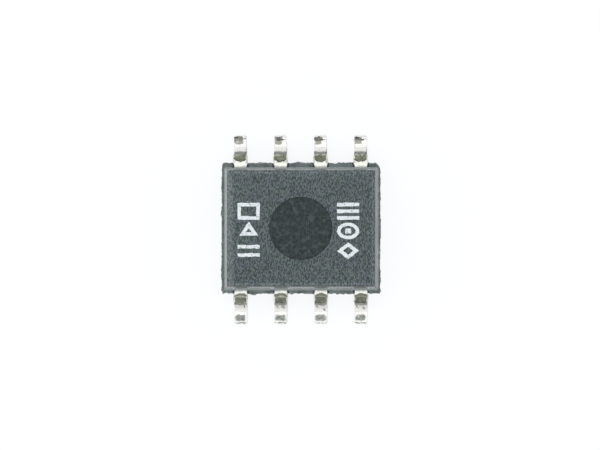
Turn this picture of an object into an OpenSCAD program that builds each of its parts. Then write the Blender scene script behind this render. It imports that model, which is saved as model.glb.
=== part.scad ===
// Eight-lead small-outline digital-to-analog converter.
// A resin body is moulded round a stamped lead frame: eight gull-wing leads, and a lowered pad
// that carries the die. One gold wire joins the die to each lead.
// Sizes are in millimetres. The origin is the middle of the seating plane, and the two rows of
// leads point along +Y and -Y. Leads are numbered anticlockwise from above, from the +X end of
// the +Y row.

/* [Body] */
// Length of the moulded body along the lead rows, at its parting level
body_length = 4.9; // [4.6:0.05:5.3]
// Width of the moulded body between the lead rows, at its parting level
body_width = 3.9; // [3.7:0.05:4.1]
// Height of the moulded body from its underside to its top face
body_height = 1.45; // [1.35:0.05:1.75]
// Room between the seating plane and the underside of the body
standoff = 0.15; // [0.1:0.01:0.25]
// Draft of the moulded walls, in degrees from the vertical
draft_angle = 10; // [5:1:15]
// Corner radius of the top face and of the underside
face_corner = 0.06; // [0.05:0.01:0.15]
// Fillet between a face and the drafted walls
face_fillet = 0.04; // [0.02:0.01:0.05]

/* [Round mark] */
// Diameter of the round ejector mark in the top face
mark_diameter = 2; // [1:0.1:2.6]
// Depth of the round ejector mark
mark_depth = 0.05; // [0.02:0.01:0.08]

/* [Resin web] */
// Reach of the resin web past the body along the lead rows, up to the trimmed dam bar
web_side = 0.12; // [0.08:0.01:0.15]
// Reach of the resin web past the body at its two ends
web_end = 0.06; // [0.03:0.01:0.12]
// Corner cut of the web on the +Y side
web_cut_back = 0.15; // [0.05:0.01:0.2]
// Corner cut of the web on the -Y side
web_cut_front = 0.05; // [0.03:0.01:0.2]

/* [Leads] */
// Distance between neighbouring leads of a row
lead_pitch = 1.27; // [1.2:0.01:1.3]
// Overall size across the two rows, from tip to tip
lead_span = 6; // [5.8:0.05:6.4]
// Width of a lead
lead_width = 0.4; // [0.33:0.01:0.48]
// Thickness of the lead frame sheet
lead_thickness = 0.2; // [0.15:0.01:0.25]
// How much wider a lead is on each side at its root, where it comes out of the body
root_step = 0.025; // [0.005:0.005:0.04]
// Length of the flare inside the body, from a lead's finger to its root
root_flare = 0.08; // [0.04:0.01:0.1]
// Flat stretch of a lead between the body and its first bend
shoulder_length = 0.18; // [0.14:0.01:0.26]
// Inner radius of both bends
bend_radius = 0.1; // [0.08:0.01:0.15]
// Slope of the leg, in degrees from the horizontal
leg_slope = 80; // [70:1:86]
// Width of the dam bar that was trimmed off, in plan
dam_width = 0.21; // [0.1:0.01:0.25]
// How far each dam bar stub stands out from the side of a lead
dam_stub = 0.035; // [0.02:0.005:0.06]
// Corner cut at the tip of a foot
tip_cut = 0.04; // [0.02:0.01:0.08]

/* [Lead fingers inside the body] */
// Room in plan between the die pad and the lead fingers
finger_gap = 0.18; // [0.12:0.01:0.22]
// Room between a corner finger and the tie bar of the die pad
tie_gap = 0.3; // [0.2:0.05:0.45]
// Width of the bonding tip of a middle finger
finger_tip_width = 0.8; // [0.5:0.05:0.9]
// Length of a bonding tip
finger_tip_length = 0.32; // [0.26:0.02:0.4]

/* [Die and its pad] */
// Length of the die pad along the lead rows
pad_length = 2.9; // [2.5:0.1:3]
// Width of the die pad between the lead rows
pad_width = 2.1; // [1.9:0.1:2.3]
// How far the die pad lies below the leads
pad_drop = 0.2; // [0.1:0.02:0.26]
// Width of the two tie bars that held the pad in the frame
tie_width = 0.4; // [0.3:0.05:0.5]
// Length of the slope from the pad up to a tie bar, in plan
tie_ramp = 0.25; // [0.2:0.05:0.4]
// Depth of resin over a tie bar, which is coined thinner than the sheet by as much
tie_cover = 0.05; // [0.03:0.01:0.08]
// Length of the die along the lead rows
die_length = 1.9; // [1.6:0.1:2.3]
// Width of the die between the lead rows
die_width = 1.5; // [1.3:0.1:1.7]
// Thickness of the die
die_thickness = 0.28; // [0.2:0.02:0.34]
// Thickness of the adhesive under the die
attach_thickness = 0.025; // [0.015:0.005:0.04]
// How far the adhesive reaches past the die
attach_margin = 0.06; // [0.02:0.01:0.1]

/* [Bond wires] */
// Diameter of a bond wire
wire_diameter = 0.03; // [0.025:0.001:0.035]
// Diameter of the ball bond on the die
ball_diameter = 0.08; // [0.06:0.01:0.1]
// Diameter of the stitch bond on a lead finger
stitch_diameter = 0.1; // [0.08:0.01:0.14]
// Height of a wire's arched loop above the straight line between its bonds
wire_loop = 0.15; // [0.1:0.01:0.2]
// Distance of a ball bond from the edge of the die
ball_inset = 0.1; // [0.07:0.01:0.15]
// Distance of a middle lead's ball bond from the middle of the die, along the lead rows
ball_x = 0.5; // [0.3:0.05:0.6]
// Distance of a corner lead's ball bond from the middle of the die, across the lead rows
ball_y = 0.4; // [0.25:0.05:0.5]
// Distance of a stitch bond from the end of its lead finger
stitch_inset = 0.12; // [0.08:0.01:0.16]

/* [Hidden] */
$fn = 64;
per_side = 4;
lead_numbers = [1 : 2 * per_side];
// Extra length of a cutting solid past the face that it cuts
cut_past = 0.1;

// Levels
lead_middle = standoff + body_height / 2;
lead_top = lead_middle + lead_thickness / 2;
lead_under = lead_middle - lead_thickness / 2;
body_top = standoff + body_height;
pad_top = lead_top - pad_drop;
attach_top = pad_top + attach_thickness;
die_top = attach_top + die_thickness;

// Moulded halves
half_height = (body_height - lead_thickness) / 2;
// In whole microns, so that the walls and corners that make up a half meet exactly
micron = 0.001;
draft_run = micron * round(half_height * tan(draft_angle) / micron);
wall_corner = face_corner + draft_run;
// Length of the fillet's tangents, from the sharp edge that it replaces
fillet_reach = face_fillet * tan((90 - draft_angle) / 2);

// The gull wing in side view, with x outwards and y up
outer_radius = bend_radius + lead_thickness;
bend_middle = bend_radius + lead_thickness / 2;
shoulder_end = body_width / 2 + shoulder_length;
leg_length = (lead_under - 2 * bend_middle * (1 - cos(leg_slope))) / sin(leg_slope);
leg_outwards = [sin(leg_slope), cos(leg_slope)];
leg_down = [cos(leg_slope), -sin(leg_slope)];
upper_bend = [shoulder_end, lead_under - bend_radius];
lower_bend = upper_bend + 2 * bend_middle * leg_outwards + leg_length * leg_down;

// The dam bar stubs start at the edge of the resin web
dam_start = body_width / 2 + web_side;
dam_end = dam_start + dam_width;
stub_width = lead_width + 2 * dam_stub;

function row(k) = k <= per_side ? 1 : -1;
function place_in_row(k) = k <= per_side ? k : k - per_side;
function lead_x(k) = row(k) * lead_pitch * ((per_side + 1) / 2 - place_in_row(k));
function is_corner(k) = place_in_row(k) == 1 || place_in_row(k) == per_side;
function finger_end(k) = is_corner(k) ? tie_width / 2 + tie_gap : pad_width / 2 + finger_gap;
function tip_half(k) = is_corner(k)
    ? lead_pitch * (per_side - 1) / 2 - pad_length / 2 - finger_gap
    : finger_tip_width / 2;

// Ball bond on the die and stitch bond on the finger, in plan
function ball_at(k) = is_corner(k)
    ? [sign(lead_x(k)) * (die_length / 2 - ball_inset), row(k) * ball_y]
    : [sign(lead_x(k)) * ball_x, row(k) * (die_width / 2 - ball_inset)];
function stitch_at(k) = [lead_x(k), row(k) * (finger_end(k) + stitch_inset)];

// What is cut off to round an outward corner, between the two directions that point from the middle
// of the round to where it meets the sides
module corner_cut(middle, radius, first, second) {
    difference() {
        polygon([
            middle, middle + 2 * radius * first,
            middle + 2 * radius * (first + second), middle + 2 * radius * second
        ]);
        translate(middle) circle(radius);
    }
}

// Section of a drafted wall, from the axis of a corner outwards, with its fillet at the top
module wall_section() {
    fillet_middle = [face_corner - fillet_reach, half_height - face_fillet];
    difference() {
        polygon([[0, 0], [wall_corner, 0], [face_corner, half_height], [0, half_height]]);
        corner_cut(fillet_middle, face_fillet, [0, 1], [cos(draft_angle), sin(draft_angle)]);
    }
}

// One of the four drafted walls of a half, with its outer face towards +X
module straight_wall(from_middle, length) {
    translate([from_middle - wall_corner, length / 2, 0])
        rotate([90, 0, 0]) linear_extrude(length) wall_section();
}

// Half of the moulded body, with its parting face at z = 0
module moulded_half() {
    straight_x = body_length - 2 * wall_corner;
    straight_y = body_width - 2 * wall_corner;
    translate([-straight_x / 2, -straight_y / 2, 0]) cube([straight_x, straight_y, half_height]);
    for (turn = [0, 180]) rotate(turn) {
        straight_wall(body_length / 2, straight_y);
        rotate(90) straight_wall(body_width / 2, straight_x);
        translate([straight_x / 2, straight_y / 2, 0]) rotate_extrude(angle = 90) wall_section();
        translate([-straight_x / 2, straight_y / 2, 0])
            rotate(90) rotate_extrude(angle = 90) wall_section();
    }
}

// Resin that filled the frame out to the dam bars, as thick as the sheet
module resin_web() {
    x = body_length / 2 + web_end;
    y = body_width / 2 + web_side;
    translate([0, 0, lead_under]) linear_extrude(lead_thickness) polygon([
        [x, y - web_cut_back], [x - web_cut_back, y], [web_cut_back - x, y], [-x, y - web_cut_back],
        [-x, web_cut_front - y], [web_cut_front - x, -y], [x - web_cut_front, -y], [x, web_cut_front - y]
    ]);
}

module moulded_body() {
    color("#5c6567") difference() {
        union() {
            translate([0, 0, lead_top]) moulded_half();
            translate([0, 0, lead_under]) mirror([0, 0, 1]) moulded_half();
            resin_web();
        }
        translate([0, 0, body_top - mark_depth])
            cylinder(d = mark_diameter, h = mark_depth + cut_past);
        for (k = lead_numbers) {
            lead(k);
            bond_wire(k);
        }
        die_pad();
        die_attach();
        die();
    }
}

// Turns side-view work upright: its x runs along +Y, its y along +Z and its thickness along X
module upright() {
    rotate([90, 0, 90]) children();
}

// Region under one face of the bent sheet, seen from the side: over the shoulder, round the upper
// bend, down the leg, round the lower bend and along the foot
module under_sheet(inner_end, shoulder_level, upper_radius, lower_radius) {
    foot_level = lower_bend.y - lower_radius;
    outer_end = lead_span / 2 + cut_past;
    difference() {
        polygon([
            [inner_end, shoulder_level],
            [upper_bend.x + upper_radius * tan(leg_slope / 2), shoulder_level],
            lower_bend - lower_radius * leg_outwards, [lower_bend.x, foot_level],
            [outer_end, foot_level], [outer_end, -cut_past], [inner_end, -cut_past]
        ]);
        corner_cut(upper_bend, upper_radius, [0, 1], leg_outwards);
        translate(lower_bend) circle(lower_radius);
    }
}

// The bent sheet seen from the side, from inside the body to past the tip of the foot
module bent_sheet(inner_end) {
    difference() {
        under_sheet(inner_end, lead_top, outer_radius, bend_radius);
        under_sheet(inner_end - cut_past, lead_under, bend_radius, outer_radius);
    }
}

// Stamped outline of a lead in plan: bonding tip, finger, flared root, dam bar stubs, leg and foot
module stamped_outline(k) {
    half = lead_width / 2;
    finger = finger_end(k);
    neck = finger + finger_tip_length;
    tip = lead_span / 2;
    right = [
        [tip_half(k), finger], [tip_half(k), neck], [half, neck], [half, body_width / 2 - root_flare],
        [half + root_step, body_width / 2], [stub_width / 2, dam_start], [stub_width / 2, dam_end],
        [half, dam_end], [half, tip - tip_cut], [half - tip_cut, tip]
    ];
    left = [for (i = [len(right) - 1 : -1 : 0]) [-right[i].x, right[i].y]];
    polygon(concat(right, left));
}

// The outline stamped from the sheet, and the sheet bent to a gull wing
module lead(k) {
    sheet_width = 2 * max(tip_half(k), stub_width) + cut_past;
    color("#d9dad0") translate([lead_x(k), 0, 0]) rotate(row(k) > 0 ? 0 : 180) intersection() {
        upright() translate([0, 0, -sheet_width / 2])
            linear_extrude(sheet_width) bent_sheet(finger_end(k) - cut_past);
        translate([0, 0, -cut_past]) linear_extrude(lead_top + 2 * cut_past) stamped_outline(k);
    }
}

// Pad for the die, with a tie bar bent up at each end and cut off flush with the resin web. The bars
// are coined from above, so that only their cut ends show.
module die_pad() {
    pad_end = pad_length / 2;
    ramp_end = pad_end + tie_ramp;
    bar_end = body_length / 2 + web_end;
    bar_top = lead_top - tie_cover;
    // Keeps the sheet's thickness about the same round the bends
    under_shift = lead_thickness * tan(atan2(pad_drop, tie_ramp) / 2);
    color("#b87333") {
        translate([-pad_end, -pad_width / 2, pad_top - lead_thickness])
            cube([pad_length, pad_width, lead_thickness]);
        for (turn = [0, 180]) rotate(turn) translate([0, tie_width / 2, 0]) rotate([90, 0, 0])
            linear_extrude(tie_width) polygon([
                [0, pad_top], [pad_end, pad_top], [ramp_end, bar_top], [bar_end, bar_top],
                [bar_end, lead_under], [ramp_end + under_shift, lead_under],
                [pad_end + under_shift, pad_top - lead_thickness], [0, pad_top - lead_thickness]
            ]);
    }
}

module die_attach() {
    size = [die_length + 2 * attach_margin, die_width + 2 * attach_margin];
    color("#a9a9a4") translate([-size.x / 2, -size.y / 2, pad_top])
        cube([size.x, size.y, attach_thickness]);
}

module die() {
    color("#4a5568") translate([-die_length / 2, -die_width / 2, attach_top])
        cube([die_length, die_width, die_thickness]);
}

// Ball on the die, one arched loop, and a stitch on the lead finger. The loop is worked out in the
// upright plane through both bonds, and ends half a wire above the faces that they sit on.
module bond_wire(k) {
    run = stitch_at(k) - ball_at(k);
    chord = [norm(run), lead_top - die_top];
    loop_radius = (norm(chord) ^ 2 / 4 + wire_loop ^ 2) / (2 * wire_loop);
    half_turn = asin(norm(chord) / 2 / loop_radius);
    color("#d4af37") {
        translate([ball_at(k).x, ball_at(k).y, die_top])
            cylinder(d = ball_diameter, h = wire_diameter);
        translate([ball_at(k).x, ball_at(k).y, die_top + wire_diameter / 2])
            rotate(atan2(run.y, run.x)) rotate([90, 0, 0]) rotate(atan2(chord.y, chord.x))
            translate([norm(chord) / 2, wire_loop - loop_radius]) rotate(90 - half_turn)
            rotate_extrude(angle = 2 * half_turn) translate([loop_radius, 0]) circle(d = wire_diameter);
        translate([stitch_at(k).x, stitch_at(k).y, lead_top])
            cylinder(d = stitch_diameter, h = wire_diameter);
    }
}

moulded_body();
die_pad();
die_attach();
die();
for (k = lead_numbers) {
    lead(k);
    bond_wire(k);
}
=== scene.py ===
import math

import bmesh
import bpy
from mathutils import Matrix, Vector


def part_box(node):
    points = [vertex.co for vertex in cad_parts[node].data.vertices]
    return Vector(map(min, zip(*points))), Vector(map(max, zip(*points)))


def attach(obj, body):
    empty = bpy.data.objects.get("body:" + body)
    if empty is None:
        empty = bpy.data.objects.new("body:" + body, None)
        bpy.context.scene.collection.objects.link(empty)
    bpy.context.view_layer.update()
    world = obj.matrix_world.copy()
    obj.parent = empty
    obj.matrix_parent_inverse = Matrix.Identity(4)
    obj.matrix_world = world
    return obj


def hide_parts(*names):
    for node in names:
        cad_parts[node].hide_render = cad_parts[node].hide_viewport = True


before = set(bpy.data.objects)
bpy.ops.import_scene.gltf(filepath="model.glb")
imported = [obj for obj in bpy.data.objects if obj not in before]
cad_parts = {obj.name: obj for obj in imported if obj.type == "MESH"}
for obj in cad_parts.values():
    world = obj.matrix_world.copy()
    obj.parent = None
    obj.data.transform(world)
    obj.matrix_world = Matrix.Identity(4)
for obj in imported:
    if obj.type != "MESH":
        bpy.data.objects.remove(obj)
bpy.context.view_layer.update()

# Pieces are modelled in millimetres and brought to metres when they are finished.
MM = 0.001
# Places closer than this count as the same, in millimetres
NEAR = 0.0005


def box_mm(name):
    low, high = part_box(name)
    return low / MM, high / MM


# Levels and outlines read off the frame
body_low, body_high = box_mm("moulded_body")
first_low, first_high = box_mm("lead_1")
second_low, second_high = box_mm("lead_2")
top_face = body_high.z
underside = body_low.z
lead_top = first_high.z
foot_tip = first_high.y
lead_pitch = (first_low.x + first_high.x - second_low.x - second_high.x) / 2

# Moulded body
lead_thickness = 0.2
lead_under = lead_top - lead_thickness
parting_level = (lead_top + lead_under) / 2
web_end = 0.06
web_side = 0.12
body_half_x = body_high.x - web_end
body_half_y = body_high.y - web_side
draft_angle = math.radians(10)
draft_run = (top_face - lead_top) * math.tan(draft_angle)
face_half_x = body_half_x - draft_run
face_half_y = body_half_y - draft_run
face_corner = 0.06
face_fillet = 0.04
mark_radius = 1.0
mark_depth = 0.05
mark_floor = top_face - mark_depth
tie_width = 0.4

# Leads, in a back row and a front row
back, front = 1, -1
lead_numbers = range(1, 9)
# Marks on the plating count the leads of a row from the left
row_first, row_last = 1, 4
row_middle = (row_first + row_last) / 2
lead_width = 0.4
dam_stub = 0.03
dam_start = body_half_y + web_side
shoulder_length = 0.18
shoulder_end = body_half_y + shoulder_length
bend_radius = 0.2
bend_steps = 10
leg_slope = math.radians(80)
finger_tip_length = 0.32
tip_cut = 0.04
# How far the rows lie to the side of their places, as the lead frame lay in the mould
row_shift = {back: -0.02, front: -0.014}
# How far the leads of a row are turned to the left outside the body
row_turn = {back: math.radians(2), front: math.radians(1.2)}

# The sheet of a lead before it is bent: the steps of both bends and the tip, from the middle of the body
bend_length = bend_radius * leg_slope
leg_drop = parting_level - lead_thickness / 2
leg_length = (leg_drop - 2 * bend_radius * (1 - math.cos(leg_slope))) / math.sin(leg_slope)
foot_start = shoulder_end + 2 * bend_radius * math.sin(leg_slope) + leg_length * math.cos(leg_slope)
first_bend = [shoulder_end + bend_length * step / bend_steps for step in range(bend_steps + 1)]
leg_end = first_bend[-1] + leg_length
second_bend = [leg_end + bend_length * step / bend_steps for step in range(bend_steps + 1)]
sheet_tip = second_bend[-1] + foot_tip - foot_start


def lead_place(number):
    """The row of a lead, and where the lead lies along that row."""
    low, high = box_mm(f"lead_{number}")
    row = back if high.y > 0 else front
    return row, (low.x + high.x) / 2 + row_shift[row]


# Tools for modelling by hand

def deselect():
    if bpy.context.mode != "OBJECT":
        bpy.ops.object.mode_set(mode="OBJECT")
    bpy.ops.object.select_all(action="DESELECT")


def make_active(piece):
    """Makes a piece the only one that is selected."""
    deselect()
    bpy.context.view_layer.objects.active = piece
    piece.select_set(True)


def pick_all():
    bpy.ops.mesh.select_all(action="SELECT")


def pick(kind, test):
    """Selects the vertices, edges or faces of the mesh in edit mode that pass a test."""
    bpy.ops.mesh.select_mode(type=kind)
    bpy.ops.mesh.select_all(action="DESELECT")
    mesh = bpy.context.edit_object.data
    shape = bmesh.from_edit_mesh(mesh)
    for item in {"VERT": shape.verts, "EDGE": shape.edges, "FACE": shape.faces}[kind]:
        if test(item):
            item.select_set(True)
    shape.select_flush_mode()
    bmesh.update_edit_mesh(mesh)


def centre_of(item):
    """Middle of an edge or a face."""
    total = Vector()
    for corner in item.verts:
        total += corner.co
    return total / len(item.verts)


def upright(edge):
    """Whether the ends of an edge lie at different heights."""
    return abs(edge.verts[0].co.z - edge.verts[1].co.z) > NEAR


def start_cube(name, low, high):
    """A cube between two corners, left in edit mode."""
    deselect()
    bpy.ops.mesh.primitive_cube_add(size=1)
    piece = bpy.context.object
    piece.name = name
    low, high = Vector(low), Vector(high)
    bpy.ops.object.mode_set(mode="EDIT")
    bpy.ops.transform.resize(value=high - low, center_override=(0, 0, 0))
    bpy.ops.transform.translate(value=(low + high) / 2)
    return piece


def extrude(move):
    """Pulls out what is selected along a move."""
    bpy.ops.mesh.extrude_region_move(TRANSFORM_OT_translate={"value": move})


def flatten(level_test, level):
    """Brings the vertices that pass a test back to one level."""
    pick("VERT", level_test)
    bpy.ops.transform.resize(value=(1, 1, 0), center_override=(0, 0, level))


def combine(piece, other, operation):
    """Adds or cuts away another piece, which is then gone."""
    make_active(piece)
    modifier = piece.modifiers.new("combine", "BOOLEAN")
    modifier.object = other
    modifier.operation = operation
    modifier.solver = "EXACT"
    bpy.ops.object.modifier_apply(modifier=modifier.name)
    bpy.data.objects.remove(other)


def join(pieces):
    deselect()
    for piece in pieces:
        piece.select_set(True)
    bpy.context.view_layer.objects.active = pieces[0]
    bpy.ops.object.join()
    return pieces[0]


def finish_piece(piece, materials, smooth_below=30):
    """Brings a piece to metres, shades it and hangs it on the object."""
    make_active(piece)
    bpy.ops.object.mode_set(mode="EDIT")
    pick_all()
    bpy.ops.mesh.normals_make_consistent(inside=False)
    bpy.ops.transform.resize(value=(MM, MM, MM), center_override=(0, 0, 0))
    bpy.ops.object.mode_set(mode="OBJECT")
    bpy.ops.object.shade_smooth_by_angle(angle=math.radians(smooth_below))
    for material in materials:
        piece.data.materials.append(material)
    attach(piece, "root")


# Tools for shader nodes

def put_in(tree, socket, value):
    """Gives a socket a plain value, or links it to another socket."""
    if isinstance(value, bpy.types.NodeSocket):
        tree.links.new(value, socket)
    else:
        socket.default_value = value


def node(tree, kind, **values):
    """A shader node with its settings, and with values or links in its sockets."""
    made = tree.nodes.new("ShaderNode" + kind)
    for key, value in values.items():
        if hasattr(made, key):
            setattr(made, key, value)
        else:
            put_in(tree, made.inputs[key.replace("_", " ")], value)
    return made


def maths(tree, operation, *values):
    made = node(tree, "Math", operation=operation)
    for socket, value in zip(made.inputs, values):
        put_in(tree, socket, value)
    return made.outputs["Value"]


def plus(tree, first, second):
    return maths(tree, "ADD", first, second)


def minus(tree, first, second):
    return maths(tree, "SUBTRACT", first, second)


def times(tree, first, second):
    return maths(tree, "MULTIPLY", first, second)


def larger(tree, first, second):
    return maths(tree, "MAXIMUM", first, second)


def distance(tree, value):
    """How far a value lies from nought."""
    return maths(tree, "ABSOLUTE", value)


def weighted(tree, *parts):
    """The sum of several values, each times its share."""
    total, *others = [times(tree, value, share) for value, share in parts]
    for other in others:
        total = plus(tree, total, other)
    return total


def spread(tree, value, low, high, to_low=0.0, to_high=1.0):
    """Spreads a value from one range to another, and keeps it inside."""
    made = node(tree, "MapRange", interpolation_type="SMOOTHSTEP", Value=value, From_Min=low, From_Max=high,
                To_Min=to_low, To_Max=to_high)
    return made.outputs["Result"]


def band(tree, value, start, end, blur):
    """1 where a value lies between two limits, with soft ends."""
    above = spread(tree, value, start - blur, start + blur)
    below = spread(tree, value, end - blur, end + blur, 1.0, 0.0)
    return times(tree, above, below)


def split(tree, vector):
    """The x, y and z of a vector."""
    made = node(tree, "SeparateXYZ", Vector=vector)
    return made.outputs["X"], made.outputs["Y"], made.outputs["Z"]


def object_place(tree):
    """The place on the object in metres, so noise on it has a scale per metre."""
    return node(tree, "TexCoord").outputs["Object"]


def place_mm(tree):
    """The place on the object in millimetres, as x, y and z."""
    scaled = node(tree, "VectorMath", operation="SCALE", Vector=object_place(tree), Scale=1 / MM)
    return split(tree, scaled.outputs["Vector"])


def facing(tree):
    """The direction that the surface faces, as x, y and z."""
    return split(tree, node(tree, "NewGeometry").outputs["Normal"])


def noise(tree, place, scale, detail=2.0, roughness=0.5):
    made = node(tree, "TexNoise", Vector=place, Scale=scale, Detail=detail, Roughness=roughness)
    return made.outputs["Fac"]


def streaks(tree, stretch, scale, detail=2.0):
    """Noise that is drawn out from the front to the back."""
    drawn_out = node(tree, "Mapping", vector_type="TEXTURE", Vector=object_place(tree),
                     Rotation=(0, 0, math.radians(90)), Scale=(stretch, 1, 1))
    return noise(tree, drawn_out.outputs["Vector"], scale, detail)


def mix_colours(tree, amount, first, second, blend="MIX"):
    """A colour between two, each a plain colour or a socket."""
    made = node(tree, "Mix", data_type="RGBA", blend_type=blend)
    sockets = {socket.identifier: socket for socket in made.inputs}
    put_in(tree, sockets["Factor_Float"], amount)
    for side, colour in (("A_Color", first), ("B_Color", second)):
        put_in(tree, sockets[side], (*colour, 1) if isinstance(colour, tuple) else colour)
    return next(socket for socket in made.outputs if socket.identifier == "Result_Color")


def add_bump(tree, shader, height, strength, depth):
    """Bumps that are some part of a millimetre deep."""
    bump = node(tree, "Bump", Height=height, Strength=strength, Distance=depth * MM)
    tree.links.new(bump.outputs["Normal"], shader.inputs["Normal"])


def new_material(name, **sockets):
    """A material with one Principled BSDF, whose even values are set on its own sockets."""
    material = bpy.data.materials.new(name)
    material.use_nodes = True
    shader = material.node_tree.nodes["Principled BSDF"]
    for socket, value in sockets.items():
        shader.inputs[socket.replace("_", " ")].default_value = value
    return material, material.node_tree, shader


# Shader node groups

def new_group(name, inputs, outputs):
    group = bpy.data.node_groups.new(name, "ShaderNodeTree")
    for socket, value in inputs.items():
        made = group.interface.new_socket(socket, in_out="INPUT", socket_type="NodeSocketFloat")
        made.default_value = value
    for socket in outputs:
        group.interface.new_socket(socket, in_out="OUTPUT", socket_type="NodeSocketFloat")
    return group, group.nodes.new("NodeGroupInput"), group.nodes.new("NodeGroupOutput")


def grain_group(finer_by=2.3):
    """Fine grain of a surface: Tone runs from 0 to 1, and Height is for a bump."""
    group, given, put = new_group("surface_grain", {"Scale": 12000.0}, ["Tone", "Height"])
    scale = given.outputs["Scale"]
    coarse = noise(group, object_place(group), scale, detail=3.0, roughness=0.6)
    fine = noise(group, object_place(group), times(group, scale, finer_by), detail=1.0)
    height = weighted(group, (coarse, 0.6), (fine, 0.4))
    group.links.new(spread(group, height, 0.36, 0.64), put.inputs["Tone"])
    group.links.new(height, put.inputs["Height"])
    return group


def spots_group(outline=0.06):
    """Scattered spots: Amount from 0 to 1 says how much of the surface they take."""
    group, given, put = new_group("scattered_spots", {"Scale": 9000.0, "Amount": 0.2}, ["Mask"])
    cloud = noise(group, object_place(group), given.outputs["Scale"], roughness=0.6)
    start = minus(group, 0.75, times(group, given.outputs["Amount"], 0.5))
    mask = spread(group, cloud, start, plus(group, start, outline))
    group.links.new(mask, put.inputs["Mask"])
    return group


surface_grain = grain_group()
scattered_spots = spots_group()


def grain(tree, scale):
    """Tone and Height of the surface grain."""
    return node(tree, "Group", node_tree=surface_grain, Scale=scale).outputs


def spot_mask(tree, scale, amount):
    return node(tree, "Group", node_tree=scattered_spots, Scale=scale, Amount=amount).outputs["Mask"]


# Moulding resin. Each pair of colours runs from the dark to the light of the grain.

face_cool = (0.014, 0.026, 0.033), (0.158, 0.193, 0.215)
face_warm = (0.014, 0.029, 0.028), (0.158, 0.205, 0.204)
# Pale grey of the worn dots on the face, and of the painted highlight along its edges
face_worn_and_lit = (0.08, 0.1, 0.105), (0.29, 0.34, 0.355)
wall_grey = (0.064, 0.085, 0.083), (0.255, 0.297, 0.291)
# Colour of the painted shade towards the face on the long walls
wall_painted_shade = (0.02, 0.03, 0.03)
web_grey = (0.08, 0.101, 0.101), (0.265, 0.312, 0.312)
polished_dark = (0.009, 0.021, 0.022), (0.039, 0.062, 0.065)
haze_grey = (0.077, 0.104, 0.105)
scratch_grey = (0.06, 0.078, 0.079)
rubbed_grey = (0.11, 0.13, 0.128)


def face_painted_light(tree, x, y, rim_start=0.045, rim_end=0.1, rim_blur=0.02, light_start=0.06, left_end=0.3,
              back_end=0.4, fade_end=2.0):
    """How much painted highlight the face gets: a pale line along its edges, more towards its back end, and
    most of all towards its left end.
    """
    from_left = plus(tree, x, face_half_x)
    from_back = minus(tree, face_half_y, y)
    room_x = minus(tree, face_half_x, distance(tree, x))
    room_y = minus(tree, face_half_y, distance(tree, y))
    from_edge = maths(tree, "MINIMUM", room_x, room_y)
    # Painted highlight: a pale line just inside the edges, and paler towards the left and back ends
    painted_light = times(tree, band(tree, from_edge, rim_start, rim_end, rim_blur), 0.7)
    painted_light = larger(tree, painted_light, spread(tree, from_left, light_start, left_end, 0.75, 0.06))
    painted_light = larger(tree, painted_light, spread(tree, from_back, light_start, back_end, 0.3, 0.0))
    return times(tree, painted_light, spread(tree, from_left, left_end, fade_end, 1.0, 0.8))


def face_colour(tree, x, y, fine):
    """Grainy grey that changes a little between cool and warm, with worn dots, and with painted highlight
    along its edges and towards its left end.
    """
    strokes = spread(tree, streaks(tree, stretch=2.4, scale=28000.0), 0.42, 0.58)
    tone = weighted(tree, (fine, 0.4), (strokes, 0.6))
    cool = mix_colours(tree, tone, *face_cool)
    warm = mix_colours(tree, tone, *face_warm)
    worn_and_lit = mix_colours(tree, tone, *face_worn_and_lit)
    clouds = spread(tree, noise(tree, object_place(tree), scale=2400.0), 0.4, 0.6)
    colour = mix_colours(tree, clouds, cool, warm)
    colour = mix_colours(tree, spot_mask(tree, scale=11000.0, amount=0.12), colour, worn_and_lit)
    return mix_colours(tree, face_painted_light(tree, x, y), colour, worn_and_lit)


def wall_side(tree, part, to_low=0.0, to_high=1.0):
    """The second value on walls that face one way, and the first one elsewhere."""
    return spread(tree, part, 0.3, 0.6, to_low, to_high)


def wall_colour(tree, z, to_x, to_y, fine, patches, uneven=0.06, reflection_start=0.2, reflection_end=0.6,
                dark_start=0.4, dark_end=0.05):
    """Grey with painted reflection that pales it towards the parting level, painted light on the back wall,
    painted shade on the right wall, and painted shade towards the face on the long walls.
    """
    level = plus(tree, z, spread(tree, patches, 0.0, 1.0, -uneven, uneven))
    # Painted reflection: the wall is paler towards the parting level
    off_parting = distance(tree, minus(tree, level, parting_level))
    painted_reflection = spread(tree, off_parting, reflection_start, reflection_end, 1.0, 0.0)
    tone = weighted(tree, (fine, 0.45), (patches, 0.2), (painted_reflection, 0.4))
    # Painted light makes the back wall paler, and painted shade makes the right wall darker
    tone = plus(tree, tone, wall_side(tree, to_y, 0.0, 0.12))
    tone = minus(tree, tone, wall_side(tree, to_x, 0.0, 0.4))
    # Painted shade: darker towards the face on the long walls
    dark = spread(tree, level, top_face - dark_start, top_face - dark_end, 0.0, 0.8)
    dark = times(tree, dark, wall_side(tree, distance(tree, to_y)))
    return mix_colours(tree, dark, mix_colours(tree, tone, *wall_grey), wall_painted_shade)


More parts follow.
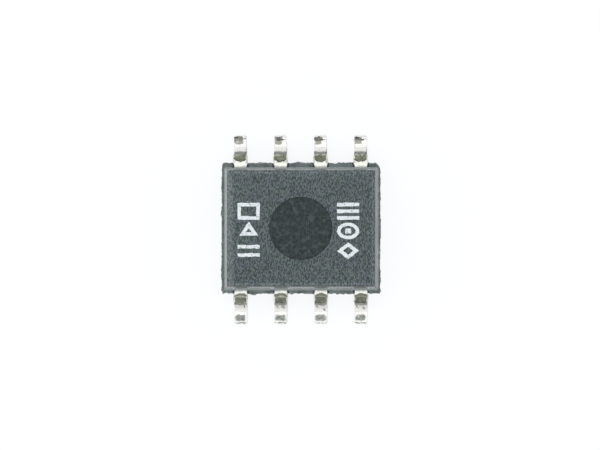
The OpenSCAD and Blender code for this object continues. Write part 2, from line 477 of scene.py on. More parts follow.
def resin_material(wall_base=0.05, wall_top=0.018, wall_blur=0.01, web_base=0.004, web_top=0.003,
                   web_blur=0.002):
    """Moulding resin with a matt face, smooth walls and a matt web round the parting level."""
    material, tree, shader = new_material("moulding_resin", Specular_IOR_Level=0.5, Sheen_Weight=0.5,
                                          Sheen_Roughness=0.4, Sheen_Tint=(0.92, 1, 1, 1))
    x, y, z = place_mm(tree)
    to_x, to_y, _ = facing(tree)
    fine = grain(tree, scale=22000.0)
    patches = spread(tree, noise(tree, object_place(tree), scale=3200.0, detail=4.0), 0.3, 0.7)
    wall = band(tree, z, underside + wall_base, top_face - wall_top, wall_blur)
    web = band(tree, z, lead_under - web_base, lead_top - web_top, web_blur)
    web_tone = weighted(tree, (fine["Tone"], 0.5), (patches, 0.5))
    colour = face_colour(tree, x, y, fine["Tone"])
    colour = mix_colours(tree, wall, colour, wall_colour(tree, z, to_x, to_y, fine["Tone"], patches))
    colour = mix_colours(tree, web, colour, mix_colours(tree, web_tone, *web_grey))
    tree.links.new(colour, shader.inputs["Base Color"])
    # The right wall is less smooth than the others
    smooth = times(tree, minus(tree, wall, web), wall_side(tree, to_x, 1.0, 0.5))
    rough = spread(tree, fine["Tone"], 0.0, 1.0, 0.5, 0.65)
    rough = minus(tree, rough, times(tree, smooth, 0.42))
    tree.links.new(rough, shader.inputs["Roughness"])
    height = times(tree, fine["Height"], spread(tree, smooth, 0.0, 1.0, 1.0, 0.0))
    add_bump(tree, shader, height, strength=0.5, depth=0.012)
    return material


def polished_material(relief_start=0.002, relief_end=0.01):
    """Smooth floor of the round mark, with haze, fine scratches and rubbed relief."""
    material, tree, shader = new_material("polished_resin", Specular_IOR_Level=0.5)
    _, _, z = place_mm(tree)
    fine = grain(tree, scale=9000.0)
    haze = spread(tree, noise(tree, object_place(tree), scale=4500.0, detail=3.0), 0.48, 0.7)
    scratches = spread(tree, streaks(tree, stretch=50.0, scale=22000.0, detail=1.0), 0.64, 0.72)
    relief = spread(tree, z, mark_floor + relief_start, mark_floor + relief_end)
    rubbed = spread(tree, noise(tree, object_place(tree), scale=9000.0), 0.35, 0.6, 0.25, 0.9)
    colour = mix_colours(tree, fine["Tone"], *polished_dark)
    colour = mix_colours(tree, times(tree, haze, 0.6), colour, haze_grey)
    colour = mix_colours(tree, scratches, colour, scratch_grey)
    colour = mix_colours(tree, times(tree, relief, rubbed), colour, rubbed_grey)
    tree.links.new(colour, shader.inputs["Base Color"])
    tree.links.new(spread(tree, fine["Tone"], 0.0, 1.0, 0.32, 0.45), shader.inputs["Roughness"])
    add_bump(tree, shader, fine["Height"], strength=0.2, depth=0.005)
    return material


# Colours of the plating: where it is bent it mirrors the dark of the room, and where it lies flat it
# mirrors the light, so where flat plating looks as dark as the bend, that dark is painted reflection
bright_plating = (0.85, 0.87, 0.78), (0.92, 0.94, 0.86)
matt_white = (0.985, 0.985, 0.96)
sheared_grey = (0.6, 0.6, 0.58), (0.86, 0.86, 0.84)
bent_olive = (0.9, 0.97, 0.72)
dull_olive = (0.78, 0.84, 0.66)
# Painted reflection: the dark olive of flat plating, of the start of the bend on two front leads, and of
# the top of the front legs
painted_olive_reflection = (0.205, 0.222, 0.168)
painted_mid_olive_reflection = (0.45, 0.48, 0.39)
painted_leg_reflection = (0.3, 0.31, 0.265)
# Painted shade: the root of the leads by the body, and the front shoulders
root_painted_shade = (0.55, 0.56, 0.52)
shoulder_painted_shade = (0.9, 0.925, 0.86)
# Painted reflection: a thin pale line across the back bends
painted_tan_reflection = (0.52, 0.545, 0.45)
dull_grey = (0.3, 0.3, 0.275)
edge_grey = (0.13, 0.13, 0.12)
# Grey of worn marks and specks, and of a painted highlight arc on two front leads
worn_grey_and_highlight = (0.43, 0.435, 0.385)
patch_grey = (0.39, 0.395, 0.335)
spot_grey = (0.19, 0.205, 0.185)
witness_grey = (0.26, 0.285, 0.26)
pale_grey = (0.62, 0.62, 0.61)
streak_grey = (0.2, 0.2, 0.185)
mottle_grey = (0.3, 0.3, 0.3)

# Marks on the plating from the body outwards, in the back row and then in the front row. A mark is on all
# leads of its row or on those from one to another, and middle and half are across and along the lead. Its
# ends may curve away from the body, its outline is more or less soft, and it may be broken up into spots.
# Places along a lead count from the middle of the body, here and in the functions below.
# Some of these marks are painted shade, painted reflection or a painted highlight, as the comments by them
# say.
plating_marks = [
    # Painted shade at the root, next to the body
    (root_painted_shade, dict(row=back, middle=(0, 1.935), half=(0.5, 0.06), soft=0.9)),
    # Painted reflection: dark olive from the end of the shoulder into the bend
    (painted_olive_reflection, dict(row=back, middle=(0, 2.205), half=(0.19, 0.08), curve=1.5, soft=0.3)),
    (bent_olive, dict(row=back, middle=(0, 2.245), half=(0.5, 0.085), curve=1.5)),
    # Darker grey on the outer face of the bend
    (dull_grey, dict(row=back, middle=(0, 2.39), half=(0.21, 0.076), soft=0.7)),
    # Painted reflection: a thin pale line across the bend
    (painted_tan_reflection, dict(row=back, middle=(0, 2.335), half=(0.21, 0.018), soft=0.5)),
    (edge_grey, dict(row=back, middle=(0.19, 2.42), half=(0.025, 0.05), soft=0.6)),
    (edge_grey, dict(row=back, leads=(2, 4), middle=(-0.19, 2.42), half=(0.025, 0.05), soft=0.6)),
    (worn_grey_and_highlight, dict(row=back, middle=(0.195, 2.52), half=(0.014, 0.06), soft=0.8)),
    (patch_grey, dict(row=back, leads=(1, 1), middle=(-0.055, 2.775), half=(0.145, 0.068))),
    (dull_grey, dict(row=back, leads=(1, 1), middle=(-0.055, 2.88), half=(0.155, 0.068))),
    (edge_grey, dict(row=back, leads=(1, 1), middle=(-0.055, 2.885), half=(0.155, 0.065), spots=0.5)),
    (dull_grey, dict(row=back, leads=(1, 1), middle=(0.12, 2.88), half=(0.06, 0.018), soft=0.6)),
    (pale_grey, dict(row=back, leads=(1, 1), middle=(-0.09, 2.78), half=(0.025, 0.02), soft=0.6)),
    (patch_grey, dict(row=back, leads=(2, 4), middle=(-0.06, 2.775), half=(0.105, 0.068))),
    (dull_grey, dict(row=back, leads=(2, 4), middle=(-0.065, 2.88), half=(0.12, 0.068))),
    (edge_grey, dict(row=back, leads=(2, 4), middle=(-0.065, 2.885), half=(0.12, 0.065), spots=0.58)),
    (edge_grey, dict(row=back, leads=(2, 4), middle=(0.07, 2.855), half=(0.05, 0.022), soft=0.6)),
    (worn_grey_and_highlight, dict(row=back, leads=(2, 4), middle=(0.15, 2.865), half=(0.025, 0.02), soft=0.6)),
    # Painted shade over the front shoulders and at their root
    (shoulder_painted_shade, dict(row=front, middle=(0, 2.03), half=(0.5, 0.07), soft=0.5)),
    (root_painted_shade, dict(row=front, middle=(0, 1.93), half=(0.5, 0.045), soft=0.9)),
    # Painted reflection: a dark arc on the flat shoulder, where a clamp mark lies
    (painted_olive_reflection, dict(row=front, middle=(0, 2.085), half=(0.2, 0.05), curve=1.0)),
    # Painted highlight: a pale arc where the shoulder meets the bend on the first two leads
    (worn_grey_and_highlight, dict(row=front, leads=(1, 2), middle=(0, 2.12), half=(0.18, 0.018), curve=1.7, soft=0.6)),
    # Painted reflection: dark olive over the start of the bend on the last two leads
    (painted_olive_reflection, dict(row=front, leads=(3, 4), middle=(0, 2.125), half=(0.2, 0.05), curve=1.0)),
    (dull_olive, dict(row=front, middle=(0, 2.26), half=(0.195, 0.115), soft=0.3)),
    # Painted reflection: a darker arc at the start of the bend on the last two leads
    (painted_mid_olive_reflection, dict(row=front, leads=(3, 4), middle=(0, 2.15), half=(0.2, 0.028), curve=1.0, soft=0.6)),
    # Painted reflection: dark olive at the top of the leg
    (painted_leg_reflection, dict(row=front, middle=(0, 2.365), half=(0.21, 0.045), soft=0.5)),
    (worn_grey_and_highlight, dict(row=front, middle=(0, 2.45), half=(0.18, 0.05), spots=0.34, spot_scale=19000.0)),
    (worn_grey_and_highlight, dict(row=front, leads=(2, 4), middle=(-0.115, 2.43), half=(0.03, 0.06), soft=0.6)),
    (dull_grey, dict(row=front, leads=(1, 1), middle=(0.125, 2.455), half=(0.024, 0.04), soft=0.6)),
    (worn_grey_and_highlight, dict(row=front, leads=(2, 2), middle=(0.075, 2.455), half=(0.05, 0.05), soft=0.6)),
    (dull_grey, dict(row=front, leads=(3, 3), middle=(0.095, 2.535), half=(0.03, 0.03), soft=0.6)),
    (dull_grey, dict(row=front, leads=(4, 4), middle=(0.08, 2.49), half=(0.03, 0.03), soft=0.6)),
    (witness_grey, dict(row=front, middle=(-0.015, 2.8), half=(0.165, 0.1), soft=0.9)),
    (worn_grey_and_highlight, dict(row=front, middle=(-0.015, 2.795), half=(0.16, 0.1), spots=0.4, spot_scale=17000.0)),
    (spot_grey, dict(row=front, middle=(-0.015, 2.79), half=(0.145, 0.085), spots=0.36)),
    (pale_grey, dict(row=front, leads=(4, 4), middle=(-0.07, 2.77), half=(0.03, 0.03), soft=0.6)),
    (worn_grey_and_highlight, dict(row=front, middle=(-0.01, 2.957), half=(0.165, 0.022), spots=0.6)),
]


def lead_across(tree, x):
    """How far a place lies from the middle of the nearest lead, along the row."""
    leads = maths(tree, "FRACT", maths(tree, "DIVIDE", x, lead_pitch))
    return times(tree, minus(tree, leads, 0.5), lead_pitch)


def place_on_lead(tree, x, y, wander, uneven=0.015, row_gap=0.1):
    """How far across and along its lead a place lies, a little uneven as the edges of the marks are."""
    shift = spread(tree, wander, 0.0, 1.0, -uneven, uneven)
    along = distance(tree, y)
    to_side = spread(tree, y, -row_gap, row_gap, row_shift[front], row_shift[back])
    turn = spread(tree, y, -row_gap, row_gap, math.tan(row_turn[front]), math.tan(row_turn[back]))
    turned_by = times(tree, minus(tree, along, body_half_y), turn)
    straight = plus(tree, minus(tree, x, to_side), turned_by)
    return plus(tree, lead_across(tree, straight), shift), plus(tree, along, shift)


def plating_mark(tree, place, row, middle, half, leads=(row_first, row_last), curve=0.0, soft=0.25,
                 spots=0.0, spot_scale=13000.0, spots_below=0.6, spots_fade=0.1):
    """1 inside a rounded mark on some leads of a row."""
    x, y, z, across, along = place
    bow = times(tree, times(tree, across, across), curve)
    outwards = minus(tree, along, bow)
    reach = []
    for value, centre, size in zip((across, outwards), middle, half):
        off = maths(tree, "DIVIDE", minus(tree, value, centre), size)
        square = times(tree, off, off)
        reach.append(times(tree, square, square))
    inside = spread(tree, plus(tree, *reach), 1 - soft, 1 + soft, 1.0, 0.0)
    in_row = maths(tree, "GREATER_THAN", times(tree, y, row), 0.0)
    first_x, last_x = [(number - row_middle) * lead_pitch for number in leads]
    on_leads = band(tree, x, first_x - lead_pitch / 2, last_x + lead_pitch / 2, blur=0.01)
    mask = times(tree, inside, times(tree, in_row, on_leads))
    if spots:
        low = spread(tree, z, spots_below - spots_fade, spots_below, 1.0, 0.0)
        mask = times(tree, mask, times(tree, spot_mask(tree, spot_scale, spots), low))
    return mask


def drawn_plating(tree, colour, along, wander, mottled=(2.1, 2.42), streaked=(2.35, 2.44)):
    """Darkens the plating where the sheet was bent, with mottling and then with fine streaks."""
    mottle = spread(tree, wander, 0.2, 0.8, 0.0, 0.45)
    mottle = times(tree, mottle, band(tree, along, *mottled, blur=0.03))
    colour = mix_colours(tree, mottle, colour, mottle_grey, "MULTIPLY")
    drawn = spread(tree, streaks(tree, stretch=9.0, scale=20000.0), 0.48, 0.66, 0.0, 0.45)
    drawn = times(tree, drawn, band(tree, along, *streaked, blur=0.02))
    return mix_colours(tree, drawn, colour, streak_grey)


def plating_material(foot_from=2.4, stub_to=2.35, shear_fade=(2.35, 2.5), flat_foot=(2.59, 2.95),
                     blur=0.02):
    """Solder plating, bright at the shoulder, dulled by the bend, partly by painted reflection and shade,
    and matt white on the foot.
    """
    material, tree, shader = new_material("lead_plating")
    x, y, z = place_mm(tree)
    to_x, _, to_z = facing(tree)
    fine = grain(tree, scale=9000.0)
    wander = grain(tree, scale=6000.0)["Tone"]
    across, along = place_on_lead(tree, x, y, wander)
    # The feet are matt, and so are the cut stubs of the dam bar
    sheet_side = lead_width / 2
    stub = spread(tree, distance(tree, across), sheet_side - blur, sheet_side - blur / 2)
    stub = times(tree, stub, band(tree, along, dam_start, stub_to, blur))
    matt = larger(tree, spread(tree, along, foot_from - blur, foot_from + blur), stub)
    colour = mix_colours(tree, matt, mix_colours(tree, fine["Tone"], *bright_plating), matt_white)
    dull = matt
    for mark_colour, shape in plating_marks:
        mask = plating_mark(tree, (x, y, z, across, along), **shape)
        colour = mix_colours(tree, mask, colour, mark_colour)
        dull = larger(tree, mask, dull)
    colour = drawn_plating(tree, colour, along, wander)
    # The sheared sides of the sheet are rough and duller, least on the foot
    sheared = spread(tree, distance(tree, to_x), 0.85, 0.97)
    sheared = times(tree, sheared, spread(tree, along, *shear_fade, 1.0, 0.2))
    colour = mix_colours(tree, sheared, colour, mix_colours(tree, wander, *sheared_grey))
    tree.links.new(colour, shader.inputs["Base Color"])
    # The flat of the foot is smooth enough to mirror the light overhead
    flat = times(tree, band(tree, along, *flat_foot, blur), spread(tree, to_z, 0.985, 0.997))
    metal = plus(tree, spread(tree, matt, 0.0, 1.0, 1.0, 0.0), times(tree, flat, 0.75))
    tree.links.new(metal, shader.inputs["Metallic"])
    rough = spread(tree, fine["Tone"], 0.0, 1.0, 0.08, 0.14)
    rough = plus(tree, rough, weighted(tree, (dull, 0.08), (matt, 0.3), (flat, -0.36)))
    rough = larger(tree, rough, times(tree, sheared, 0.45))
    tree.links.new(rough, shader.inputs["Roughness"])
    add_bump(tree, shader, fine["Height"], strength=0.12, depth=0.004)
    return material


ink_white = (0.78, 0.86, 0.92), (0.93, 0.97, 1.0)
pit_grey = (0.42, 0.48, 0.52)


def ink_material():
    """White ink with fine pits."""
    material, tree, shader = new_material("marking_ink", Roughness=0.6)
    fine = grain(tree, scale=14000.0)
    colour = mix_colours(tree, fine["Tone"], *ink_white)
    colour = mix_colours(tree, spot_mask(tree, scale=16000.0, amount=0.3), colour, pit_grey)
    tree.links.new(colour, shader.inputs["Base Color"])
    add_bump(tree, shader, fine["Height"], strength=0.3, depth=0.006)
    return material


def inner_material(name, dark, light, scale, **sockets):
    """Finish of a piece sealed inside the body."""
    material, tree, shader = new_material(name, **sockets)
    fine = grain(tree, scale)
    tree.links.new(mix_colours(tree, fine["Tone"], dark, light), shader.inputs["Base Color"])
    add_bump(tree, shader, fine["Height"], strength=0.2, depth=0.004)
    return material


resin = resin_material()
polished = polished_material()
plating = plating_material()
ink = ink_material()
copper = inner_material("copper_pad", (0.5, 0.26, 0.17), (0.64, 0.37, 0.26), 6000.0,
                        Metallic=1.0, Roughness=0.45)
adhesive = inner_material("die_adhesive", (0.35, 0.35, 0.34), (0.48, 0.48, 0.46), 9000.0, Roughness=0.55)
silicon = inner_material("silicon", (0.08, 0.09, 0.11), (0.13, 0.14, 0.17), 4000.0,
                         Metallic=0.6, Roughness=0.15)
gold = inner_material("gold_wire", (0.85, 0.6, 0.22), (0.95, 0.72, 0.34), 20000.0,
                      Metallic=1.0, Roughness=0.22)


# Moulded body

def moulded_half(name, inner, parting, face, corner_steps=5, fillet_steps=4):
    """Half of the moulding: a rounded block inside the web, drawn in by the draft up to its flat face."""
    low, high = min(inner, parting), max(inner, parting)
    piece = start_cube(name, (-body_half_x, -body_half_y, low), (body_half_x, body_half_y, high))
    pick("FACE", lambda f: abs(centre_of(f).z - parting) < NEAR)
    bpy.ops.mesh.inset(thickness=draft_run, depth=abs(face - parting))
    pick("EDGE", upright)
    bpy.ops.mesh.bevel(offset=face_corner, segments=corner_steps, affect="EDGES")
    pick("EDGE", lambda e: all(abs(v.co.z - face) < NEAR for v in e.verts))
    fillet_reach = face_fillet * math.tan((math.pi / 2 - draft_angle) / 2)
    bpy.ops.mesh.bevel(offset=fillet_reach, segments=fillet_steps, affect="EDGES")
    return piece


# Corner cuts of the web, along x and y, by the side of the body that they are on
web_cuts = {(1, 1): (0.16, 0.21), (-1, 1): (0.07, 0.19), (1, -1): (0.06, 0.06), (-1, -1): (0.04, 0.07)}
# Passes that roughen the edge of the web: the edges that are cut up, their cuts, unevenness and seed
web_passes = [(1.0, 24, 0.045, 3), (0.12, 2, 0.04, 8)]


def resin_web(web_relief=0.006, past_right=0.005, past_left=0.012, past_back=0.025, trim_front=0.025,
              end_calm=0.6, trim_right=0.017):
    """The thin web of resin round the parting level, with ragged edges where it was trimmed."""
    low, high = lead_under + web_relief, lead_top - web_relief
    right, left = body_high.x + past_right, body_low.x - past_left
    tie_room = 0.75 * tie_width
    piece = start_cube("web", (left, trim_front - body_high.y, low), (right, body_high.y + past_back, high))
    for (side_x, side_y), (cut_x, cut_y) in web_cuts.items():
        pick("EDGE", lambda e: upright(e) and centre_of(e).x * side_x > 0 and centre_of(e).y * side_y > 0)
        bpy.ops.mesh.bevel(offset=cut_x, segments=1, affect="EDGES")
        end = right if side_x > 0 else left
        pick("VERT", lambda v: abs(v.co.x - end) < NEAR and v.co.y * side_y > 0)
        bpy.ops.transform.translate(value=(0, side_y * (cut_x - cut_y), 0))
    for longest, cuts, uneven, seed in web_passes:
        pick("EDGE", lambda e: not upright(e) and e.calc_length() > longest)
        bpy.ops.mesh.subdivide(number_cuts=cuts)
        pick("VERT", lambda v: abs(v.co.y) > tie_room or abs(v.co.x) < body_half_x)
        bpy.ops.transform.vertex_random(offset=uneven, seed=seed)
        flatten(lambda v: v.co.z > (low + high) / 2, high)
        flatten(lambda v: v.co.z < (low + high) / 2, low)
    # The two ends are calmer than the long sides, and the right one is trimmed a little shorter
    for side, end, trim in ((1, right, trim_right), (-1, left, 0)):
        pick("VERT", lambda v: abs(v.co.y) > tie_room and v.co.x * side > body_half_x)
        bpy.ops.transform.resize(value=(end_calm, 1, 1), center_override=(end, 0, 0))
        bpy.ops.transform.translate(value=(-side * trim, 0, 0))
    pick_all()
    bpy.ops.mesh.quads_convert_to_tris()
    return piece


def lead_grooves(groove_depth=0.12, groove_room=0.03, into_body=0.01, past_web=0.2, over_lead=0.004):
    """Cutters for the grooves in the web on both sides of each lead."""
    cutters = []
    half = lead_width / 2 + dam_stub + groove_room
    for number in lead_numbers:
        row, x = lead_place(number)
        ends = sorted([row * (body_half_y - into_body), row * (body_high.y + past_web)])
        cutters.append(start_cube("groove", (x - half, ends[0], lead_top - groove_depth),
                                  (x + half, ends[1], lead_top + over_lead)))
    return join(cutters)


def tie_notches(notch_past=0.1, bar_cover=0.001):
    """Cutters in front of the two tie bars, which lay their cut ends open to the side."""
    _, pad_high = box_mm("die_pad")
    cutters = []
    for side in (1, -1):
        ends = sorted([side * (pad_high.x - bar_cover), side * (pad_high.x + notch_past)])
        cutters.append(start_cube("notch", (ends[0], -tie_width / 2, lead_under - notch_past),
                                  (ends[1], tie_width / 2, pad_high.z)))
    return join(cutters)


def round_cutter(sides=128):
    """Cutter for the round mark, which stands out of the top face."""
    deselect()
    bpy.ops.mesh.primitive_cylinder_add(vertices=sides, radius=mark_radius, depth=4 * mark_depth,
                                        location=(0, 0, top_face + mark_depth))
    return bpy.context.object


# Ticks in the round mark start at different distances from its middle, and differ in height
tick_starts = [0.5, 0.58, 0.66, 0.74]
tick_heights = [0.006, 0.009, 0.012]
# Where the two lips of a slot lie along x, and between which ends along y
lip_places = [0.17, 0.23]
lip_ends = [-0.4, 0.28]


def mark_relief(tick_count=12, tick_width=0.03, tick_end=0.84, first_turn=0.35, lip_width=0.02,
                lip_height=0.007, sunk=0.02):
    """Faint raised marks on the floor of the round mark: a ring of ticks, and two lips of a slot."""
    below = mark_floor - sunk
    marks = []
    for place in range(tick_count):
        start = tick_starts[place % len(tick_starts)]
        top = mark_floor + tick_heights[place % len(tick_heights)]
        marks.append(start_cube("tick", (start, -tick_width / 2, below), (tick_end, tick_width / 2, top)))
        turn = 2 * math.pi * (place + first_turn) / tick_count
        bpy.ops.transform.rotate(value=turn, orient_axis="Z", center_override=(0, 0, 0))
    for lip in lip_places:
        marks.append(start_cube("lip", (lip, lip_ends[0], below),
                                (lip + lip_width, lip_ends[1], mark_floor + lip_height)))
    return join(marks)


def polish_mark(piece):
    """Gives the floor of the round mark the second material of the body."""
    for face in piece.data.polygons:
        low = lead_top * MM < face.center.z < (top_face - mark_depth / 2) * MM
        if low and face.center.xy.length < mark_radius * MM:
            face.material_index = 1


def moulded_body(overlap=0.03):
    """Two halves of the moulding and the web between them, with the round mark in the top face."""
    piece = moulded_half("resin_body", parting_level - overlap, lead_top, top_face)
    combine(piece, moulded_half("lower", parting_level + overlap, lead_under, underside), "UNION")
    web = resin_web()
    combine(web, lead_grooves(), "DIFFERENCE")
    combine(web, tie_notches(), "DIFFERENCE")
    combine(piece, web, "UNION")
    combine(piece, round_cutter(), "DIFFERENCE")
    combine(piece, mark_relief(), "UNION")
    bpy.ops.object.mode_set(mode="EDIT")
    pick_all()
    bpy.ops.mesh.dissolve_degenerate(threshold=NEAR)
    finish_piece(piece, [resin, polished])
    polish_mark(piece)
    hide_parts("moulded_body")


# Gull-wing leads

# Places across the sheet where it is cut up, so that it can be made hollow
half_columns = [0.05, 0.1, 0.14, 0.165, 0.185]
lead_columns = [-column for column in reversed(half_columns)] + half_columns
# The lead widens from its root to the dam bar, and the stub of the bar tapers off on the bend
stub_end = first_bend[5]
stub_steps = {body_half_y: 0, first_bend[4]: 0.6, stub_end: 0.1}


def cut_sheet(neck, tip_row=0.1):
    """Cuts up the sheet across, at its bends and changes of width, and then along."""
    leg_middle = first_bend[-1] + leg_length / 2
    for row in [neck, body_half_y, dam_start, *first_bend, leg_middle, *second_bend, sheet_tip - tip_row]:
        pick_all()
        bpy.ops.mesh.bisect(plane_co=(0, row, 0), plane_no=(0, 1, 0))
    for column in lead_columns:
        pick_all()
        bpy.ops.mesh.bisect(plane_co=(column, 0, 0), plane_no=(1, 0, 0))


def widen_sheet(side, tip_half, neck):
    """Pulls out one side of the sheet at the bonding tip and at the stub of the dam bar."""
    half = lead_width / 2
    sideways = 0.9
    pick("FACE", lambda f: f.normal.x * side > sideways and centre_of(f).y < neck)
    extrude((side * (tip_half - half), 0, 0))
    pick("FACE", lambda f: f.normal.x * side > sideways and body_half_y < centre_of(f).y < stub_end)
    extrude((side * dam_stub, 0, 0))
    for row, share in stub_steps.items():
        pick("VERT", lambda v: v.co.x * side > half + NEAR and abs(v.co.y - row) < NEAR)
        bpy.ops.transform.translate(value=(side * (share - 1) * dam_stub, 0, 0))


def flat_lead(tip_half, finger_end, broken_edge=0.01, sharp=50):
    """A stamped lead before it is bent, pointing along +Y at x = 0."""
    half = lead_width / 2
    neck = finger_end + finger_tip_length
    piece = start_cube("lead", (-half, finger_end, lead_under), (half, sheet_tip, lead_top))
    pick("EDGE", lambda e: upright(e) and centre_of(e).y > sheet_tip - NEAR)
    bpy.ops.mesh.bevel(offset=tip_cut, segments=1, affect="EDGES")
    cut_sheet(neck)
    for side in (1, -1):
        widen_sheet(side, tip_half, neck)
    pick_all()
    bpy.ops.mesh.remove_doubles(threshold=NEAR)
    bpy.ops.mesh.select_mode(type="EDGE")
    bpy.ops.mesh.select_all(action="DESELECT")
    bpy.ops.mesh.edges_select_sharp(sharpness=math.radians(sharp))
    bpy.ops.mesh.bevel(offset=broken_edge, segments=2, affect="EDGES")
    return piece


def bend(rows, angle, along):
    """Bends the sheet between the first and the last row, beginning with the step nearest the tip."""
    for start, end in reversed(list(zip(rows, rows[1:]))):
        pivot = (start + end) / 2
        pick("VERT", lambda v: along[v.index] > pivot)
        bpy.ops.transform.rotate(value=angle / bend_steps, orient_axis="X",
                                 center_override=(0, pivot, parting_level))


def proud_sides(piece, proud=0.12, power=4):
    """Moves that leave the sides of the outer face proud of the first bend, so that it is hollow across."""
    half = lead_width / 2 + dam_stub
    moves = {}
    for vertex in piece.data.vertices:
        share = (vertex.co.y - first_bend[0]) / (first_bend[-1] - first_bend[0])
        if vertex.co.z < parting_level or share < -NEAR or share > 1 + NEAR:
            continue
        turn = leg_slope * share
        lag = proud * min(1, abs(vertex.co.x) / half) ** power
        move = (round(lag * (1 - math.sin(turn)), 4), round(lag * (1 - math.cos(turn)), 4))
        moves.setdefault(move, set()).add(vertex.index)
    return moves


def gull_wing(tip_half, finger_end):
    """A bent lead that stands at x = 0 in the back row."""
    piece = flat_lead(tip_half, finger_end)
    bpy.ops.object.mode_set(mode="OBJECT")
    along = [v.co.y for v in piece.data.vertices]
    moves = proud_sides(piece)
    bpy.ops.object.mode_set(mode="EDIT")
    bend(second_bend, -leg_slope, along)
    bend(first_bend, leg_slope, along)
    for (outwards, up), chosen in moves.items():
        pick("VERT", lambda v: v.index in chosen)
        bpy.ops.transform.translate(value=(0, outwards, up))
    bpy.ops.object.mode_set(mode="OBJECT")
    return piece


def place_lead(pattern, number, tip_reach=0.06, tip_uneven=0.006):
    """A copy of a lead at its place in its row, with its own unevenness at the tip."""
    row, x = lead_place(number)
    make_active(pattern)
    bpy.ops.object.duplicate(linked=False)
    piece = bpy.context.object
    piece.name = f"plated_lead_{number}"
    bpy.ops.object.mode_set(mode="EDIT")
    pick("VERT", lambda v: v.co.y > foot_tip - tip_reach)
    bpy.ops.transform.vertex_random(offset=tip_uneven, seed=number)
    pick("VERT", lambda v: v.co.y > body_half_y + NEAR)
    bpy.ops.transform.rotate(value=-row_turn[row], orient_axis="Z", center_override=(0, body_half_y, 0))
    pick_all()
    bpy.ops.transform.resize(value=(1, row, 1), center_override=(0, 0, 0))
    bpy.ops.transform.translate(value=(x, 0, 0))
    finish_piece(piece, [plating], smooth_below=40)
    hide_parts(f"lead_{number}")


def all_leads():
    """The eight leads, from one pattern for each width of their bonding tips."""
    patterns = {}
    for number in lead_numbers:
        low, high = box_mm(f"lead_{number}")
        tip_half = (high.x - low.x) / 2
        finger_end = min(abs(low.y), abs(high.y))
        kind = round(tip_half, 3)
        if kind not in patterns:
            patterns[kind] = gull_wing(tip_half, finger_end)
        place_lead(patterns[kind], number)
    for pattern in patterns.values():
        bpy.data.objects.remove(pattern)


# Ink marks on the top face

ink_stroke = 0.11
ink_thickness = 0.005
ink_half_x, ink_half_y = 0.35, 0.265
ink_left, ink_right = -1.648, 1.495
ink_pitch = 0.625
ink_upper = 0.54
ink_centre = ink_upper - ink_pitch
ink_lower = ink_upper - 2 * ink_pitch


def ink_film(piece, centre, seed, uneven=0.018, sunk=0.001):
    """Roughens the outline of a flat shape, and lays it on the top face as a film of ink."""
    pick_all()
    bpy.ops.transform.vertex_random(offset=uneven, seed=seed)
    bpy.ops.transform.resize(value=(1, 1, 0), center_override=(0, 0, 0))
    bpy.ops.transform.translate(value=(*centre, top_face - sunk))
    extrude((0, 0, ink_thickness))
    return piece


def ink_frame(corners, centre, cuts, seed, turn=0, taller=1):
    """A closed frame of ink with that many corners."""
    deselect()
    bpy.ops.mesh.primitive_circle_add(vertices=corners, radius=1, fill_type="NGON")
    piece = bpy.context.object
    bpy.ops.object.mode_set(mode="EDIT")
    bpy.ops.transform.rotate(value=turn, orient_axis="Z", center_override=(0, 0, 0))
    reach = math.cos(math.pi / corners) if turn else 1
    bpy.ops.transform.resize(value=(ink_half_x / reach, ink_half_y * taller / reach, 1),
                             center_override=(0, 0, 0))
    bpy.ops.mesh.inset(thickness=ink_stroke, depth=0)
    bpy.ops.mesh.delete(type="FACE")
    pick_all()
    bpy.ops.mesh.subdivide(number_cuts=cuts)
    return ink_film(piece, centre, seed)


def ink_bar(centre, seed, half_x=ink_half_x, half_y=ink_stroke / 2, cuts=7):
    """A filled bar of ink."""
    deselect()
    bpy.ops.mesh.primitive_plane_add(size=2)
    piece = bpy.context.object
    bpy.ops.object.mode_set(mode="EDIT")
    bpy.ops.transform.resize(value=(half_x, half_y, 1), center_override=(0, 0, 0))
    bpy.ops.mesh.subdivide(number_cuts=cuts)
    return ink_film(piece, centre, seed)


def ink_marks(pair_half=0.13):
    """Two columns of plain marks, each three marks high."""
    bar_step = ink_half_y - ink_stroke / 2
    right = [ink_bar((ink_right, ink_upper + step * bar_step), seed=20 + step) for step in (-1, 0, 1)]
    right.append(ink_frame(corners=32, centre=(ink_right, ink_centre), cuts=1, seed=31))
    right.append(ink_bar((ink_right, ink_centre), seed=32, half_x=0.09, half_y=0.08))
    right.append(ink_frame(corners=4, centre=(ink_right, ink_lower), cuts=6, seed=33))
    left = [ink_frame(corners=4, centre=(ink_left, ink_upper), cuts=6, seed=41, turn=math.pi / 4)]
    left.append(ink_frame(corners=3, centre=(ink_left, ink_centre), cuts=8, seed=42, taller=1.1))
    left += [ink_bar((ink_left, ink_lower + step * pair_half), seed=43 + step) for step in (-1, 1)]
    for side, shapes in {"right": right, "left": left}.items():
        piece = join(shapes)
        piece.name = f"ink_{side}"
        finish_piece(piece, [ink])


moulded_body()
all_leads()
ink_marks()

# Finishes of the solids that stay as they are
inner_finishes = {"die_pad": copper, "die_attach": adhesive, "die": silicon}
inner_finishes.update({f"bond_wire_{number}": gold for number in lead_numbers})
for name, finish in inner_finishes.items():
    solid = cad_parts[name].data
    solid.materials.clear()
    solid.materials.append(finish)


# Floor, light and camera

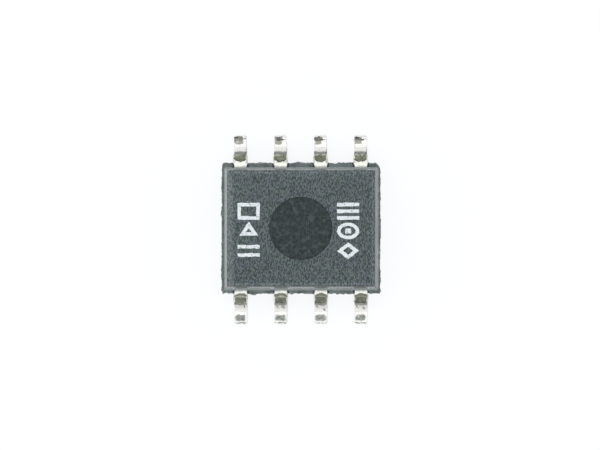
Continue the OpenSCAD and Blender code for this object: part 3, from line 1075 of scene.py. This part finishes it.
def studio_floor(half_size=0.3, lit_grey=(0.75, 0.75, 0.75), seen_grey=(0.15, 0.15, 0.15), glow=0.89):
    """A plain floor that looks white, and lights the part as a pale grey one does."""
    deselect()
    bpy.ops.mesh.primitive_plane_add(size=2 * half_size)
    floor = bpy.context.object
    floor.name = "studio_floor"
    material, tree, shader = new_material("floor_white", Roughness=0.9, Specular_IOR_Level=0.0,
                                          Emission_Color=(0.97, 0.98, 1.0, 1))
    path = node(tree, "LightPath").outputs
    seen = larger(tree, path["Is Camera Ray"], path["Is Glossy Ray"])
    seen = larger(tree, seen, path["Is Transmission Ray"])
    colour = mix_colours(tree, seen, lit_grey, seen_grey)
    tree.links.new(colour, shader.inputs["Base Color"])
    tree.links.new(times(tree, seen, glow), shader.inputs["Emission Strength"])
    floor.data.materials.append(material)


# Brightness of the room by height: pale at the horizon and straight above, and dim between
room_levels = [(0.0, 0.95), (0.05, 0.9), (0.16, 0.25), (0.98, 0.25), (0.994, 1.15), (1.0, 1.15)]


def studio_world(soft_grey=(0.8, 0.8, 0.8)):
    """An even soft light for matt surfaces, and a bright and dark room for mirroring ones to show."""
    world = bpy.data.worlds.new("studio")
    bpy.context.scene.world = world
    world.use_nodes = True
    tree = world.node_tree
    _, _, up = split(tree, node(tree, "TexCoord").outputs["Generated"])
    room = node(tree, "ValToRGB", Fac=up)
    stops = room.color_ramp.elements
    while len(stops) < len(room_levels):
        stops.new(0.5)
    for stop, (height, level) in zip(stops, room_levels):
        stop.position = height
        stop.color = (level, level, level, 1)
    matt = maths(tree, "GREATER_THAN", node(tree, "LightPath").outputs["Diffuse Depth"], 0.5)
    light = mix_colours(tree, matt, room.outputs["Color"], soft_grey)
    tree.links.new(light, tree.nodes["Background"].inputs["Color"])


def key_light(size=0.22, energy=0.075, place=(-0.025, -0.005, 0.2)):
    """A soft lamp over the part, which mirroring surfaces don't show."""
    lamp = bpy.data.lights.new("softbox", "AREA")
    lamp.shape = "SQUARE"
    lamp.size = size
    lamp.energy = energy
    holder = bpy.data.objects.new("softbox", lamp)
    bpy.context.scene.collection.objects.link(holder)
    holder.location = place
    holder.rotation_euler = (-Vector(place)).to_track_quat("-Z", "Y").to_euler()
    holder.visible_glossy = False


def photo_camera():
    """Nearly straight above, leaning a little to the near side and to the right."""
    pixel = 0.03159 * MM
    image_width, image_height = 600, 450
    body_at = (300.8, 228.2)
    distance_off = 0.35
    lean_near, lean_right = math.radians(1.6), math.radians(1.5)
    lens = bpy.data.cameras.new("camera")
    lens.sensor_width = 36
    lens.lens = lens.sensor_width * distance_off / (image_width * pixel)
    camera = bpy.data.objects.new("camera", lens)
    bpy.context.scene.collection.objects.link(camera)
    target = Vector(((image_width / 2 - body_at[0]) * pixel, (body_at[1] - image_height / 2) * pixel,
                     top_face * MM))
    towards_camera = Vector((math.tan(lean_right), -math.tan(lean_near), 1)).normalized()
    camera.location = target + distance_off * towards_camera
    camera.rotation_euler = (lean_near, lean_right, 0)
    bpy.context.scene.camera = camera


studio_floor()
studio_world()
key_light()
photo_camera()
bpy.context.scene.view_settings.view_transform = "Standard"
